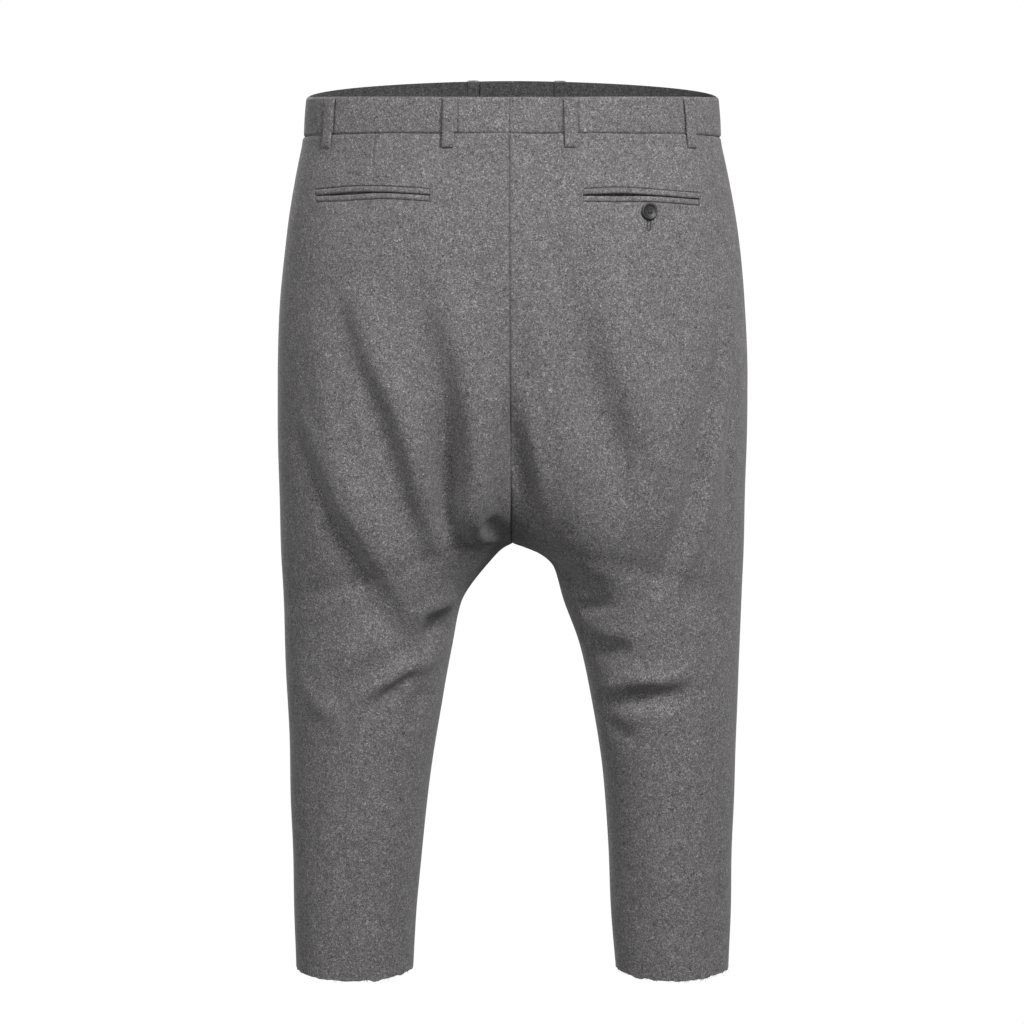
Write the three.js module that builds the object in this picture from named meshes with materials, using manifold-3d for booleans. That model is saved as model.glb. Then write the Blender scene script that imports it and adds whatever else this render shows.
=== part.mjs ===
// Drop-crotch trousers in wool flannel with raw hems, standing open in the shape they have when worn.
// Millimetres, +Z up. The front faces -Y and the wearer's left is +X.
// The origin is the middle of the waist, halfway up the waistband.
import * as THREE from "three";
import Module from "manifold-3d";
import { mergeVertices } from "three/addons/utils/BufferGeometryUtils.js";

const wasm = await Module();
wasm.setup();

// Cloth and seams
const PANEL_WALL = 1.6;
const BAND_WALL = 2.4; // cloth and its turnings
const STRIP_WALL = 1.4; // pocket welts and underlap
const SEAM_GAP = 0.3;
const BAND_PROUD = 0.6; // how far the waistband's face stands out from the panels
const BACK_WAIST_BEND = 1.2; // how soon the waist's line rises from its sides to the middle
const FRONT_WAIST_BEND = 0.8;
const SEAM_TURN = 0.08; // share of a panel's width over which its walls turn to meet a seam squarely

// How finely the solids are divided
const PANEL_COLUMNS = 16;
const PANEL_ROWS = 38;
const BAND_COLUMNS = 2 * PANEL_COLUMNS;
const BAND_ROWS = 2;
const PROBE = 0.01; // step in the surface's own units for measuring its slope

// How folds fade
const FOLD_STEPS = 20; // straight steps in each fold's line
const FOLD_ENDS = 0.08; // how far into its fade a fold starts and stops
const FOLD_FULLNESS = 0.8; // below 1 keeps a fold near its full depth for longer
const INNER_CALM = 0.12; // share of a panel's width over which folds die away towards its inner seam

// Makes a list of objects from rows of numbers and the names of their columns.
const table = (columns, rows) =>
  rows.map((row) => Object.fromEntries(columns.map((name, i) => [name, row[i]])));

// One row for each section down the garment, from the waist seam to the hem.
// Each section runs from the side seam, at sideZ and x = half, to the centre or inside leg seam, at innerZ
// and x = innerLeft or innerRight. lift raises it between its seams, midY moves it back, and lean tips the
// centre back seam to the wearer's left. back and front are the depths at the centre seam, backLobe and
// frontLobe the roundness between the seams. leg goes from 0, one tube round both legs, to 1, one for each.
const SECTIONS = table(
  [
    ...["sideZ", "innerZ", "lift", "half", "innerLeft", "innerRight", "midY", "lean"],
    ...["back", "backLobe", "front", "frontLobe", "leg"],
  ],
  [
    [-25, -11.5, 0, 205.2, 0, 0, 0, 3.4, 112, 0, 108, 0, 0],
    [-69, -62, 0, 214.6, 0, 0, 0, 3.2, 121, 3, 113, 2, 0],
    [-120, -116, 0, 223.2, 0, 0, 0, 3, 128, 6, 116, 4, 0],
    [-190, -187, 0, 230.2, 0, 0, 0, 2.7, 131, 10, 116, 7, 0],
    [-265, -259, 0, 233.4, 0, 0, 0, 2.4, 126, 17, 111, 13, 0.03],
    [-335, -326, 2, 233.2, 0, 0, -1, 2, 113, 29, 99, 25, 0.12],
    [-395, -380, 7, 232.4, 0, 0, -2, 1.6, 90, 47, 78, 43, 0.32],
    [-440, -412, 13, 231.4, 0, 0, -3, 1.2, 58, 68, 50, 61, 0.6],
    [-472, -427, 18, 230.2, 0, 0, -4, 0.6, 27, 87, 23, 77, 0.84],
    [-496, -431.5, 21, 229.4, 0, 0, -5, 0, 0, 99, 0, 88, 1],
    [-516, -437, 20, 228.8, 9.5, 13, -5, 0, 0, 98, 0, 88, 1],
    [-538, -451, 17, 228.2, 23, 38.5, -5, 0, 0, 95, 0, 87, 1],
    [-568, -492, 11, 227.2, 51.5, 52, -4, 0, 0, 91, 0, 85, 1],
    [-604, -536, 6, 225.8, 60.5, 68, -2, 0, 0, 86, 0, 81, 1],
    [-648, -592, 2, 224.2, 71, 80, 1, 0, 0, 80, 0, 76, 1],
    [-702, -664, 0, 223, 82.5, 91, 4, 0, 0, 74, 0, 71, 1],
    [-760, -742, 0, 221.4, 91, 97, 6, 0, 0, 69, 0, 67, 1],
    [-816, -810, 0, 220.6, 98, 100.5, 7, 0, 0, 65, 0, 64, 1],
    [-865, -865, 0, 219.2, 101, 105, 8, 0, 0, 62, 0, 62, 1],
  ],
);
const CROTCH_ROW = 9;
const HEM_ROW = SECTIONS.length - 1;

// The top edge of the waistband, as a section of its own above the first row.
const BAND_TOP = { ...SECTIONS[0], sideZ: 13.8, innerZ: 22.7, half: 202.4, back: 109, front: 105 };
const BAND_HEIGHT = BAND_TOP.innerZ - SECTIONS[0].innerZ;

// The largest folds. Each runs along x, z points on the back or the front, and sinks (below 0) or rises by
// depth, over width to each side of its line. It fades in and out over its ends.
const FOLDS = table(
  ["face", "depth", "width", "line"],
  [
    // back, wearer's left
    [1, -7, 21, [[160, -150], [148, -235], [128, -295], [108, -355], [88, -410], [66, -452]]],
    [1, -6, 19, [[226, -290], [205, -350], [182, -410], [150, -455], [118, -505], [96, -540]]],
    [1, -8, 16, [[92, -185], [72, -250], [44, -300], [42, -345], [54, -395], [40, -432]]],
    [1, 4, 20, [[122, -170], [98, -270], [76, -350], [66, -405], [50, -440]]],
    [1, 5, 20, [[190, -240], [170, -330], [140, -395], [108, -450], [76, -482]]],
    [1, -8, 13, [[150, -590], [118, -568], [92, -552], [70, -545]]],
    [1, 4, 16, [[170, -560], [128, -532], [92, -520], [70, -518]]],
    [1, -5, 15, [[232, -560], [206, -598], [176, -622], [150, -640]]],
    // back, wearer's right
    [1, -6, 26, [[-60, -120], [-88, -200], [-120, -255], [-138, -320], [-134, -385], [-128, -440]]],
    [1, -6, 20, [[-214, -220], [-206, -300], [-192, -375], [-176, -440], [-150, -500], [-124, -535]]],
    [1, 5, 20, [[-40, -230], [-46, -300], [-66, -380], [-96, -440], [-112, -480]]],
    [1, -6, 13, [[-104, -482], [-86, -496], [-68, -502]]],
    [1, -7, 15, [[-128, -530], [-108, -536], [-84, -540]]],
    [1, -8, 13, [[-180, -572], [-142, -582], [-104, -594]]],
    [1, 4, 16, [[-190, -548], [-150, -556], [-118, -560]]],
    [1, -5, 14, [[-92, -606], [-116, -620], [-140, -640]]],
    // front, wearer's left
    [-1, -7, 21, [[70, -130], [104, -215], [118, -300], [104, -375], [74, -432]]],
    [-1, -6, 20, [[222, -270], [196, -345], [164, -415], [126, -470], [92, -505]]],
    [-1, 5, 20, [[150, -170], [160, -270], [140, -360], [104, -430], [72, -470]]],
    [-1, -7, 14, [[172, -588], [138, -574], [104, -566], [78, -566]]],
    [-1, 4, 16, [[180, -556], [136, -540], [98, -536]]],
    [-1, -5, 14, [[104, -618], [134, -636], [166, -646]]],
    // front, wearer's right
    [-1, -7, 20, [[-90, -150], [-112, -230], [-104, -310], [-84, -380], [-58, -436]]],
    [-1, -6, 20, [[-220, -300], [-202, -370], [-176, -430], [-142, -482], [-106, -515]]],
    [-1, 5, 20, [[-150, -200], [-152, -290], [-130, -370], [-98, -440], [-76, -476]]],
    [-1, -8, 14, [[-164, -600], [-136, -584], [-108, -574], [-88, -572]]],
    [-1, 4, 16, [[-176, -566], [-140, -550], [-106, -544]]],
    [-1, -5, 15, [[-214, -600], [-190, -628], [-158, -648]]],
  ],
);

// Belt loops
const LOOP_WIDTH = 11.5;
const LOOP_WALL = 1.2;
const LOOP_TOP_DROP = 1.6; // below the waistband's top edge
const LOOP_TAIL = 13; // below the waist seam
const LOOP_BOW = 1.6; // how far the middle stands off the band
const LOOP_BOW_FULLNESS = 0.7; // below 1 makes the bow fuller near its ends
const LOOP_STEPS = [0, 0.12, 0.3, 0.5, 0.7, 0.88, 1];
const LOOP_INSIDE = 24; // how far the front loops run down the inside

// side is 1 on the wearer's left, face 1 on the back, x the distance from the middle, and overTop 1 for a
// loop that turns over the waistband's top edge.
const LOOPS = table(
  ["name", "side", "face", "x", "overTop"],
  [
    ["belt_loop_back_left", 1, 1, 58.5, 0],
    ["belt_loop_back_right", -1, 1, 58.5, 0],
    ["belt_loop_side_left", 1, 1, 177, 0],
    ["belt_loop_side_right", -1, 1, 174, 0],
    ["belt_loop_front_left", 1, -1, 40.5, 1],
    ["belt_loop_front_right", -1, -1, 48.5, 1],
  ],
);

// The welted back pockets, by the x and z of each end of the slit between the two welts.
const WELT_HEIGHT = 5.6;
const SLIT = 0.8;
const WELT_COLUMNS = 14;
const POCKETS = table(
  ["name", "side", "innerX", "innerZ", "outerX", "outerZ", "rise"],
  [
    ["left", 1, 80, -71, 192.5, -77, 3.8],
    ["right", -1, 68, -71, 183, -79.8, 3],
  ],
);

// The four-hole button of the right back pocket
const BUTTON_X = -131.7;
const BUTTON_Z = -88.1;
const BUTTON_RADIUS = 8.2;
const BUTTON_THICKNESS = 3;
const BUTTON_SIDES = 28;
const BUTTON_RIM = 1.9;
const BUTTON_DISH = 0.8;
const BUTTON_BEVEL = 0.7;
const BUTTON_HOLE_RADIUS = 0.9;
const BUTTON_HOLE_SIDES = 8;
const BUTTON_HOLE_SPACING = 2.9;
const BUTTON_STAND_OFF = 0.7;

// The strip inside the waistband that carries its closing at the centre front
const UNDERLAP_REACH = 33; // to the wearer's left
const UNDERLAP_ROOT = 14; // to the wearer's right
const UNDERLAP_COLUMNS = 5;
const UNDERLAP_LOW = 0.03; // shares of the waistband's height
const UNDERLAP_HIGH = 0.96;

const CLOTH_LOOK = { color: 0x6b6969, roughness: 0.95, metalness: 0 };
const BUTTON_LOOK = { color: 0x262627, roughness: 0.45, metalness: 0 };

const lerp = (a, b, t) => a + (b - a) * t;
const clamp01 = (t) => Math.min(1, Math.max(0, t));

// The slope at a point between two steps, flat where they turn back, so that no curve swings past
// its points.
const steadySlope = (before, after) =>
  before * after > 0 ? (2 * before * after) / (before + after) : 0;

// A smooth curve through four numbers, at t between the middle two.
function cubic(a, b, c, d, t) {
  const slopeB = steadySlope(b - a, c - b);
  const slopeC = steadySlope(c - b, d - c);
  const t2 = t * t;
  const t3 = t2 * t;
  const towardsC = 3 * t2 - 2 * t3;
  return lerp(b, c, towardsC) + (t3 - 2 * t2 + t) * slopeB + (t3 - t2) * slopeC;
}

// One measure of a row, carried on in a straight line beyond the first and last rows.
function measureOfRow(name, k) {
  if (k < 0) return 2 * SECTIONS[0][name] - SECTIONS[1][name];
  if (k > HEM_ROW) return 2 * SECTIONS[HEM_ROW][name] - SECTIONS[HEM_ROW - 1][name];
  return SECTIONS[k][name];
}

// The section at a row position that may lie between two rows of the table.
function sectionAt(position) {
  const i = Math.min(HEM_ROW - 1, Math.max(0, Math.floor(position)));
  const made = {};
  for (const name of Object.keys(SECTIONS[0])) {
    const near = [i - 1, i, i + 1, i + 2].map((k) => measureOfRow(name, k));
    made[name] = cubic(...near, position - i);
  }
  return made;
}

// A point of one section. side is 1 on the left and -1 on the right, face 1 on the back and -1 on the front.
function sectionPoint(section, side, face, across) {
  const quarter = (across * Math.PI) / 2;
  const inner = side > 0 ? section.innerLeft : section.innerRight;
  const torsoX = section.half * Math.cos(quarter);
  const legX = (section.half + inner) / 2 + ((section.half - inner) / 2) * Math.cos(2 * quarter);
  const torsoDrop = 1 - (1 - Math.sin(quarter)) ** (face > 0 ? BACK_WAIST_BEND : FRONT_WAIST_BEND);
  const drop = lerp(torsoDrop, (1 - Math.cos(2 * quarter)) / 2, section.leg);
  const lean = face > 0 ? section.lean * Math.sin(quarter) : 0;
  const depth = face > 0 ? section.back : section.front;
  const lobe = face > 0 ? section.backLobe : section.frontLobe;
  return new THREE.Vector3(
    side * lerp(torsoX, legX, section.leg) + lean,
    section.midY + face * (depth * Math.sin(quarter) + lobe * Math.sin(2 * quarter)),
    lerp(section.sideZ, section.innerZ, drop) + section.lift * Math.sin(2 * quarter),
  );
}

const smoothPoint = (side, face, across, position) =>
  sectionPoint(sectionAt(position), side, face, across);

// The outward direction of a surface, from how a point moves with its two measures.
function outward(pointAt, side, face, a, b, aMax, bMax) {
  const alongA = pointAt(Math.min(aMax, a + PROBE), b).sub(pointAt(Math.max(0, a - PROBE), b));
  const alongB = pointAt(a, Math.min(bMax, b + PROBE)).sub(pointAt(a, Math.max(0, b - PROBE)));
  return alongB.cross(alongA).multiplyScalar(side * face).normalize();
}

// The outward direction of a panel. At a seam it lies in the seam's plane, for both panels that meet there.
function panelNormal(side, face, across, position) {
  const pointAt = (a, b) => smoothPoint(side, face, a, b);
  const direction = outward(pointAt, side, face, across, position, 1, HEM_ROW);
  const fromSide = clamp01(across / SEAM_TURN);
  const fromInner = clamp01((1 - across) / SEAM_TURN);
  if (position <= CROTCH_ROW) direction.x *= fromInner;
  if (position >= CROTCH_ROW) direction.y *= fromInner;
  direction.y *= fromSide;
  return direction.normalize();
}

// Finds where a panel has the given x and z: tries a square of places and closes in on the nearest.
const SEARCH = { squares: 3, narrowing: 0.7, closest: 0.002 };
function findOnPanel(side, face, x, z) {
  let best = { across: 0.5, position: HEM_ROW / 2 };
  for (let reach = 0.5; reach > SEARCH.closest; reach *= SEARCH.narrowing) {
    let nearest = Infinity;
    let found = best;
    for (let i = -SEARCH.squares; i <= SEARCH.squares; i++)
      for (let j = -SEARCH.squares; j <= SEARCH.squares; j++) {
        const step = reach / SEARCH.squares;
        const across = clamp01(best.across + i * step);
        const position = clamp01(best.position / HEM_ROW + j * step) * HEM_ROW;
        const p = smoothPoint(side, face, across, position);
        const off = Math.hypot(p.x - x, p.z - z);
        if (off < nearest) {
          nearest = off;
          found = { across, position };
        }
      }
    best = found;
  }
  return best;
}

// Each fold as a chain of straight steps along the smooth surface.
const foldLines = FOLDS.map((fold) => {
  const lifted = fold.line.map(([x, z]) => {
    const side = x < 0 ? -1 : 1;
    const { across, position } = findOnPanel(side, fold.face, x, z);
    return smoothPoint(side, fold.face, across, position);
  });
  const points = new THREE.CatmullRomCurve3(lifted).getSpacedPoints(FOLD_STEPS);
  return { ...fold, steps: points.slice(1).map((end, i) => new THREE.Line3(points[i], end)) };
});

// How far all the folds together move a point of the surface outwards.
function foldHeight(point) {
  let height = 0;
  const nearest = new THREE.Vector3();
  for (const fold of foldLines) {
    let off = Infinity;
    let at = 0;
    fold.steps.forEach((step, i) => {
      const share = step.closestPointToPointParameter(point, true);
      const distance = step.at(share, nearest).distanceTo(point);
      if (distance >= off) return;
      off = distance;
      at = (i + share) / FOLD_STEPS;
    });
    const fade = Math.sin(Math.PI * lerp(FOLD_ENDS, 1 - FOLD_ENDS, at)) ** FOLD_FULLNESS;
    height += fold.depth * fade * Math.exp(-((off / fold.width) ** 2));
  }
  return height;
}

// The outer face of a panel, folds included.
function panelPoint(side, face, across, position) {
  const point = smoothPoint(side, face, across, position);
  const direction = panelNormal(side, face, across, position);
  return point.addScaledVector(direction, foldHeight(point) * clamp01((1 - across) / INNER_CALM));
}

// Closes a wall between a grid of outer points and a grid of inner points, with its faces outwards.
function wallGeometry(outer, inner) {
  const rows = outer.length;
  const columns = outer[0].length;
  const vertices = [...outer.flat(), ...inner.flat()].flatMap((p) => p.toArray());
  const innerStart = rows * columns;
  const faces = [];
  const quad = (a, b, c, d) => faces.push(a, b, c, a, c, d);
  const index = (i, j) => i * columns + j;
  for (let i = 0; i + 1 < rows; i++)
    for (let j = 0; j + 1 < columns; j++) {
      const corners = [index(i, j), index(i, j + 1), index(i + 1, j + 1), index(i + 1, j)];
      quad(...corners);
      quad(...corners.map((k) => k + innerStart).reverse());
    }
  const rim = [];
  for (let j = 0; j + 1 < columns; j++) rim.push(index(0, j));
  for (let i = 0; i + 1 < rows; i++) rim.push(index(i, columns - 1));
  for (let j = columns - 1; j > 0; j--) rim.push(index(rows - 1, j));
  for (let i = rows - 1; i > 0; i--) rim.push(index(i, 0));
  rim.forEach((a, k) => {
    const b = rim[(k + 1) % rim.length];
    quad(b, a, a + innerStart, b + innerStart);
  });
  const geometry = new THREE.BufferGeometry();
  geometry.setAttribute("position", new THREE.Float32BufferAttribute(vertices, 3));
  geometry.setIndex(faces);
  if (enclosedVolume(geometry) < 0) geometry.setIndex(faces.slice().reverse());
  return geometry;
}

function enclosedVolume(geometry) {
  const at = geometry.getAttribute("position");
  const order = geometry.getIndex().array;
  const corner = (k) => new THREE.Vector3().fromBufferAttribute(at, order[k]);
  let sum = 0;
  for (let k = 0; k < order.length; k += 3) sum += corner(k).dot(corner(k + 1).cross(corner(k + 2)));
  return sum / 6;
}

function clothMesh(name, outer, inner) {
  const mesh = new THREE.Mesh(wallGeometry(outer, inner), new THREE.MeshStandardMaterial(CLOTH_LOOK));
  mesh.name = name;
  return mesh;
}

const grid = (rows, columns, make) =>
  Array.from({ length: rows + 1 }, (_, i) =>
    Array.from({ length: columns + 1 }, (_, j) => make(i / rows, j / columns)),
  );

// One trouser panel, from the waist seam down the leg to the raw hem.
function panel(name, side, face) {
  const outer = [];
  const inner = [];
  for (let i = 0; i <= PANEL_ROWS; i++) {
    const position = (HEM_ROW * i) / PANEL_ROWS;
    outer.push([]);
    inner.push([]);
    for (let j = 0; j <= PANEL_COLUMNS; j++) {
      const across = j / PANEL_COLUMNS;
      const point = panelPoint(side, face, across, position);
      const direction = panelNormal(side, face, across, position);
      const atCentre = j === PANEL_COLUMNS && position <= CROTCH_ROW;
      const atLegSeam = j === PANEL_COLUMNS && position >= CROTCH_ROW;
      if (atCentre) point.x += (side * SEAM_GAP) / 2;
      if (atLegSeam || j === 0) point.y += (face * SEAM_GAP) / 2;
      outer[i].push(point);
      inner[i].push(point.clone().addScaledVector(direction, -PANEL_WALL));
    }
  }
  return clothMesh(name, outer, inner);
}

// A point on the waistband, up from the waist seam (0) to the top edge (1), moved out by offset.
function bandPoint(side, face, across, up, offset) {
  const low = SECTIONS[0];
  const at = (a, h) => sectionPoint(low, side, face, a).lerp(sectionPoint(BAND_TOP, side, face, a), h);
  const direction = outward((h, a) => at(a, h), side, face, clamp01(up), across, 1, 1);
  direction.z = 0;
  return at(across, up).addScaledVector(direction.normalize(), offset);
}

// Half of the waistband, from the centre back round the side to the centre front.
function waistband(name, side) {
  const layer = (offset) =>
    grid(BAND_ROWS, BAND_COLUMNS, (up, round) => {
      const face = round <= 0.5 ? 1 : -1;
      const point = bandPoint(side, face, Math.abs(2 * round - 1), up, offset);
      if (round === 0 || round === 1) point.x += (side * SEAM_GAP) / 2;
      if (up === 0) point.z += SEAM_GAP;
      return point;
    });
  return clothMesh(name, layer(BAND_PROUD), layer(BAND_PROUD - BAND_WALL));
}

// How far round from the side seam the waist reaches the given distance from the middle.
const acrossAtX = (x, half) => (Math.acos(clamp01(x / half)) * 2) / Math.PI;

// The line of a belt loop: height up from the waist seam, and distance out from the line of the panels.
function loopProfile(overTop) {
  const top = BAND_HEIGHT - (overTop ? 1 : LOOP_TOP_DROP);
  const rest = BAND_PROUD + SEAM_GAP;
  const within = BAND_PROUD - BAND_WALL - SEAM_GAP;
  const profile = LOOP_STEPS.map((t) => ({
    up: lerp(-LOOP_TAIL, top, t),
    out: rest + LOOP_BOW * Math.sin(Math.PI * t) ** LOOP_BOW_FULLNESS,
  }));
  if (!overTop) return profile;
  const edge = BAND_HEIGHT + SEAM_GAP;
  return [
    ...profile,
    { up: edge, out: rest },
    { up: edge, out: within },
    { up: edge - LOOP_INSIDE / 2, out: within },
    { up: edge - LOOP_INSIDE, out: within },
  ];
}

// A point of a belt loop, on the band above the waist seam and on the panel below it.
function loopPoint(side, face, across, up, out) {
  if (up >= 0) return bandPoint(side, face, across, up / BAND_HEIGHT, out);
  const rowHeight = smoothPoint(side, face, across, 0).distanceTo(smoothPoint(side, face, across, 1));
  const position = -up / rowHeight;
  const direction = panelNormal(side, face, across, position);
  return smoothPoint(side, face, across, position).addScaledVector(direction, out);
}

// A belt loop: a strip that lies on the band, and on the panel below it. Front loops turn over the top edge.
function beltLoop({ name, side, face, x, overTop }) {
  const profile = loopProfile(overTop);
  const centre = acrossAtX(x, SECTIONS[0].half);
  const nearBy = bandPoint(side, face, centre + PROBE, 0, 0);
  const roundWaist = bandPoint(side, face, centre, 0, 0).distanceTo(nearBy) / PROBE;
  const layer = (thickness) =>
    profile.map((step, i) => {
      const before = profile[Math.max(0, i - 1)];
      const after = profile[Math.min(profile.length - 1, i + 1)];
      const run = Math.hypot(after.up - before.up, after.out - before.out);
      const up = step.up - ((after.out - before.out) / run) * thickness;
      const out = step.out + ((after.up - before.up) / run) * thickness;
      return [-0.5, 0, 0.5].map((edge) =>
        loopPoint(side, face, centre + (edge * LOOP_WIDTH) / roundWaist, up, out),
      );
    });
  return clothMesh(name, layer(LOOP_WALL), layer(0));
}

// A strip on a back panel along a pocket's slit, between two heights measured from the slit's middle.
function welt(name, pocket, low, high) {
  const place = (up, along, out) => {
    const x = lerp(pocket.innerX, pocket.outerX, along) * pocket.side;
    const arch = pocket.rise * Math.sin(Math.PI * along);
    const z = lerp(pocket.innerZ, pocket.outerZ, along) + arch + lerp(low, high, up);
    const { across, position } = findOnPanel(pocket.side, 1, x, z);
    const point = panelPoint(pocket.side, 1, across, position);
    return point.addScaledVector(panelNormal(pocket.side, 1, across, position), out);
  };
  const layer = (out) => grid(1, WELT_COLUMNS, (up, along) => place(up, along, out));
  return clothMesh(name, layer(SEAM_GAP + STRIP_WALL), layer(SEAM_GAP));
}

function solidFrom(geometry) {
  const bare = new THREE.BufferGeometry();
  bare.setAttribute("position", geometry.getAttribute("position"));
  bare.setIndex(geometry.getIndex());
  const merged = mergeVertices(bare, 1e-4);
  const mesh = new wasm.Mesh({
    numProp: 3,
    vertProperties: merged.getAttribute("position").array,
    triVerts: new Uint32Array(merged.getIndex().array),
  });
  return new wasm.Manifold(mesh);
}

function geometryFrom(solid) {
  const mesh = solid.getMesh();
  const geometry = new THREE.BufferGeometry();
  geometry.setAttribute("position", new THREE.Float32BufferAttribute(mesh.vertProperties, 3));
  geometry.setIndex(new THREE.Uint32BufferAttribute(mesh.triVerts, 1));
  return geometry;
}

// A dished button with a rim and four holes, facing +Y when its group is unturned.
function pocketButton() {
  const outline = [
    [0, 0],
    [BUTTON_RADIUS - BUTTON_BEVEL, 0],
    [BUTTON_RADIUS, BUTTON_BEVEL],
    [BUTTON_RADIUS, BUTTON_THICKNESS - BUTTON_BEVEL],
    [BUTTON_RADIUS - BUTTON_BEVEL, BUTTON_THICKNESS],
    [BUTTON_RADIUS - BUTTON_RIM, BUTTON_THICKNESS],
    [BUTTON_RADIUS - BUTTON_RIM - BUTTON_DISH, BUTTON_THICKNESS - BUTTON_DISH],
    [0, BUTTON_THICKNESS - BUTTON_DISH],
  ].map(([r, y]) => new THREE.Vector2(r, y));
  let solid = solidFrom(new THREE.LatheGeometry(outline, BUTTON_SIDES));
  const drill = [BUTTON_HOLE_RADIUS, BUTTON_HOLE_RADIUS, 3 * BUTTON_THICKNESS, BUTTON_HOLE_SIDES];
  for (const x of [-BUTTON_HOLE_SPACING / 2, BUTTON_HOLE_SPACING / 2])
    for (const z of [-BUTTON_HOLE_SPACING / 2, BUTTON_HOLE_SPACING / 2])
      solid = solid.subtract(solidFrom(new THREE.CylinderGeometry(...drill).translate(x, 0, z)));
  const mesh = new THREE.Mesh(geometryFrom(solid), new THREE.MeshStandardMaterial(BUTTON_LOOK));
  mesh.name = "pocket_button";
  const { across, position } = findOnPanel(-1, 1, BUTTON_X, BUTTON_Z);
  const direction = panelNormal(-1, 1, across, position);
  mesh.position.copy(panelPoint(-1, 1, across, position)).addScaledVector(direction, BUTTON_STAND_OFF);
  mesh.quaternion.setFromUnitVectors(new THREE.Vector3(0, 1, 0), direction);
  return mesh;
}

// The underlap lies inside both halves of the waistband at the centre front.
function underlap() {
  const outside = BAND_PROUD - BAND_WALL - SEAM_GAP;
  const layer = (offset) =>
    grid(1, UNDERLAP_COLUMNS, (up, along) => {
      const x = lerp(-UNDERLAP_ROOT, UNDERLAP_REACH, along);
      const side = x < 0 ? -1 : 1;
      const height = lerp(UNDERLAP_LOW, UNDERLAP_HIGH, up);
      return bandPoint(side, -1, acrossAtX(Math.abs(x), SECTIONS[0].half), height, offset);
    });
  return clothMesh("waistband_underlap", layer(outside), layer(outside - STRIP_WALL));
}

const trousers = new THREE.Group();
trousers.add(panel("back_left", 1, 1));
trousers.add(panel("back_right", -1, 1));
trousers.add(panel("front_left", 1, -1));
trousers.add(panel("front_right", -1, -1));
trousers.add(waistband("waistband_left", 1));
trousers.add(waistband("waistband_right", -1));
trousers.add(underlap());
for (const loop of LOOPS) trousers.add(beltLoop(loop));
for (const pocket of POCKETS) {
  trousers.add(welt(`pocket_welt_upper_${pocket.name}`, pocket, SLIT / 2, SLIT / 2 + WELT_HEIGHT));
  trousers.add(welt(`pocket_welt_lower_${pocket.name}`, pocket, -SLIT / 2 - WELT_HEIGHT, -SLIT / 2));
}
trousers.add(pocketButton());

export default trousers;
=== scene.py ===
import math

import bpy
import numpy as np
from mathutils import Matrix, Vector


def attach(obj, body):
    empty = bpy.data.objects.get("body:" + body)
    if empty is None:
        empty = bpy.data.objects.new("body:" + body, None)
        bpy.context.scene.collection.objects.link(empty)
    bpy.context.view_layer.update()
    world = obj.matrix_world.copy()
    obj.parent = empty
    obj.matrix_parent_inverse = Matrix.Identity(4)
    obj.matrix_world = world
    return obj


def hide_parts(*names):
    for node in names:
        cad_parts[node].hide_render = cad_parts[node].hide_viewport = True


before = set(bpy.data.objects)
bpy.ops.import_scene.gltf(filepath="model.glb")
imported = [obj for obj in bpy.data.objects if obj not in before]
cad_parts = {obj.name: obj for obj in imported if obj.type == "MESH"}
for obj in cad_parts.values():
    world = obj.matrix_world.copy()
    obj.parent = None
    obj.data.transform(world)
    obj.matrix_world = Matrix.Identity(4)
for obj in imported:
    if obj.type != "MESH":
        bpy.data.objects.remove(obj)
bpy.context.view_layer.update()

# Drop-crotch trousers in grey wool flannel, seen from behind as they hang when worn.
# Shapes are worked out in millimetres in the frame's own axes: +Z up, +Y to the back, and +X to the
# wearer's left. A place on a panel is across, from 0 at the side seam to 1 at the inner seam, and position,
# its row of the sections. side is 1 on the wearer's left, face 1 on the back.
MM = 0.001
STEP_PEAK = 2.33  # a * exp(-a * a) has its peak at 1 / 2.33

# Camera: behind the garment and a little above it
CAMERA_DISTANCE = 4600
CAMERA_ELEVATION = math.radians(9.5)
CAMERA_TARGET = (0.5, 0, -400)
SENSOR_WIDTH = 36
VIEW_WIDTH = 1024  # millimetres of the garment's plane across the picture

# Cloth
PANEL_WALL = 1.6
BAND_WALL = 2.4
STRIP_WALL = 1.4
SEAM_GAP = 0.3  # between a strip and the cloth that it lies on
SEAM_HAIR = 0.02  # half the gap between two pieces at their seam
BAND_PROUD = 0.6  # how far the waistband stands out from the panels
BACK_WAIST_BEND = 1.2
FRONT_WAIST_BEND = 0.8
SEAM_TURN = 0.08  # share of a panel's width over which its walls turn to meet a seam squarely
LEG_SEAM_CALM = 6  # how far from the inside leg seam the folds begin
PROBE = 0.01  # step across and down a surface for measuring its slope

# Cloth eased at the crotch: over how many rows and how far from the seam, and in how many rounds
SOFT_ROWS = 2.6
SOFT_REACH = 16
SOFT_ROUNDS = 40

# Pressed seams: the groove's depth and width, and the height and distance of the ridge of the turnings
INNER_SEAM = (1.7, 0.9, 0.35, 5)
SIDE_SEAM = (0.8, 0.9, 0.3, 5)
WAIST_SEAM = (1.5, 1.1, 0.35, 4)

# Grid lines of a panel, even ones and finer ones beside its edges, darts and pockets
PANEL_COLUMNS = 92
PANEL_ROWS = 236
SEAM_LINES = np.array([0.0015, 0.0035, 0.006, 0.01])
WAIST_LINES = np.array([0.006, 0.014, 0.024, 0.036, 0.05])
HEM_LINES = np.array([0.012, 0.03])
DART_LINES = np.linspace(-0.013, 0.013, 9)
POCKET_END_LINES = np.linspace(-0.012, 0.012, 7)
POCKET_TOP_ROW = 0.98
POCKET_LINES = np.arange(59) * 0.57 / 54


def table(columns, rows):
    """A dict of one array for each named column."""
    names = columns.split()
    return {name: np.array([row[i] for row in rows], float) for i, name in enumerate(names)}


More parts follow.
